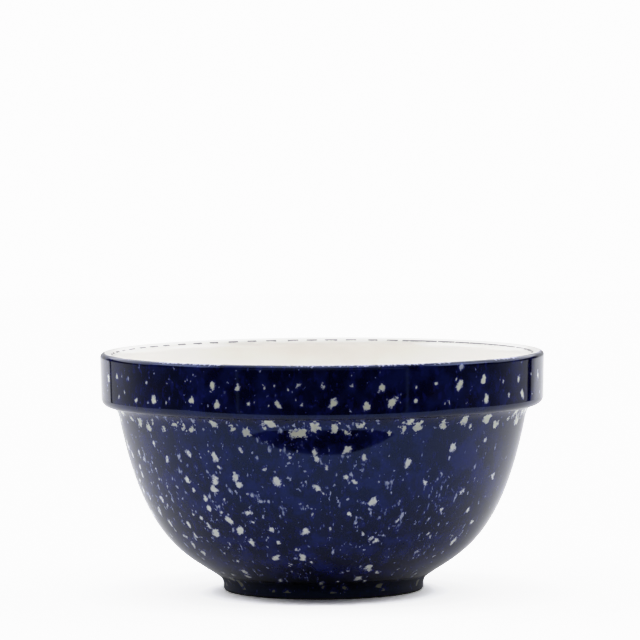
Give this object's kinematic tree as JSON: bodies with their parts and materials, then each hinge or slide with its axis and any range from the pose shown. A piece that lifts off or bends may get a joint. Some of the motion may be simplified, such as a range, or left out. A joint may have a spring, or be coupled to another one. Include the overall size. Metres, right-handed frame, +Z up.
{
  "type": "salad bowl",
  "caption": "Deep round ceramic salad bowl with an upright collar round the rim, a cream inside, a flecked dark blue outside and a short foot ring.",
  "frame": {"origin": "centre of the foot ring, on the surface that the bowl stands on", "axes": "+Z up along the bowl's axis; the bowl is round, so +X and +Y are any two level directions"},
  "size_m": [0.24, 0.24, 0.129],
  "materials": {
    "clay": "fired bare clay, matt, cane to cream",
    "cream_glaze": "glossy cream glaze",
    "blue_glaze": "glossy dark blue sponged glaze with reserved cream flecks"
  },
  "bodies": {
    "root": {"stoneware_body": "clay", "liner_glaze": "cream_glaze", "outer_glaze": "blue_glaze", "base_glaze": "cream_glaze"}
  },
  "joints": []
}
